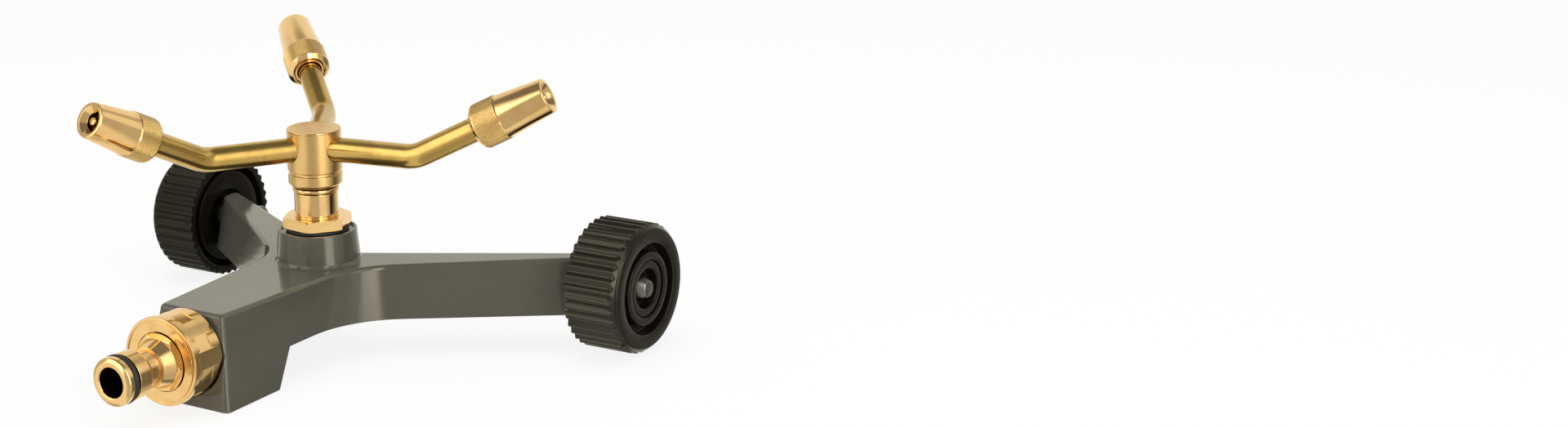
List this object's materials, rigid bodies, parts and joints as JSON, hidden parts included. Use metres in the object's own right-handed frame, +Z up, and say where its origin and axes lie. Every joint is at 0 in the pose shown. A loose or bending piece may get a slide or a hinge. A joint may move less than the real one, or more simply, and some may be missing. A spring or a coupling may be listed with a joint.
{
  "type": "rotary sprinkler",
  "caption": "Rotary garden sprinkler: bent brass arms with screw nozzles turn on a spindle above a painted cast base with ribbed wheels and a brass hose nipple.",
  "frame": {"origin": "on the ground, in the symmetry plane of the base, midway between the nose of the inlet nipple and the backs of the wheels", "axes": "+Z up along the spindle, -Y along the water inlet towards the hose, +X along the axle of the right wheel"},
  "size_m": [0.2016, 0.1784, 0.0987],
  "materials": {
    "paint": "high-gloss warm grey enamel",
    "brass": "machined and polished",
    "tube_brass": "drawn tube, slightly darkened",
    "wheel_plastic": "moulded, satin black",
    "rubber": "black seal rubber",
    "steel": "plated steel",
    "bearing_plastic": "natural acetal"
  },
  "bodies": {
    "base": {"base_casting": "paint", "union_nut": "brass", "inlet_nipple": "brass", "nipple_oring": "rubber", "inlet_washer": "rubber", "spindle": "brass", "spindle_gasket": "rubber", "lower_thrust_washer": "brass", "retaining_ring": "steel", "axle_right": "steel", "axle_left": "steel", "axle_washer_right": "bearing_plastic", "axle_washer_left": "bearing_plastic"},
    "rotor": {"rotor_head": "brass", "rotor_cap": "brass", "bearing_bush": "bearing_plastic", "upper_thrust_washer": "bearing_plastic", "arm_tube_1": "tube_brass", "nozzle_stem_1": "brass", "nozzle_oring_1": "rubber", "arm_tube_2": "tube_brass", "nozzle_stem_2": "brass", "nozzle_oring_2": "rubber", "arm_tube_3": "tube_brass", "nozzle_stem_3": "brass", "nozzle_oring_3": "rubber"},
    "wheel_right": {"wheel_right": "wheel_plastic"},
    "wheel_left": {"wheel_left": "wheel_plastic"},
    "nozzle_1": {"nozzle_1": "brass"},
    "nozzle_2": {"nozzle_2": "brass"},
    "nozzle_3": {"nozzle_3": "brass"}
  },
  "joints": [
    {"name": "rotor_spin", "type": "hinge", "parent": "base", "child": "rotor", "pos_m": [0, 0.01748, 0.0653], "axis": [0, 0, 1], "continuous": true},
    {"name": "wheel_right_spin", "type": "hinge", "parent": "base", "child": "wheel_right", "pos_m": [0.0908, 0.06698, 0.02225], "axis": [1, 0, 0], "continuous": true},
    {"name": "wheel_left_spin", "type": "hinge", "parent": "base", "child": "wheel_left", "pos_m": [-0.0908, 0.06698, 0.02225], "axis": [1, 0, 0], "continuous": true},
    {"name": "nozzle_1_twist", "type": "hinge", "parent": "rotor", "child": "nozzle_1", "pos_m": [0.04045, 0.01938, 0.0709], "axis": [0.8392, 0.3154, 0.4431], "range_deg": [-180, 180]},
    {"name": "nozzle_2_twist", "type": "hinge", "parent": "rotor", "child": "nozzle_2", "pos_m": [-0.02188, 0.05156, 0.0709], "axis": [-0.6927, 0.569, 0.4431], "range_deg": [-180, 180]},
    {"name": "nozzle_3_twist", "type": "hinge", "parent": "rotor", "child": "nozzle_3", "pos_m": [-0.01858, -0.01851, 0.0709], "axis": [-0.1464, -0.8844, 0.4431], "range_deg": [-180, 180]}
  ]
}
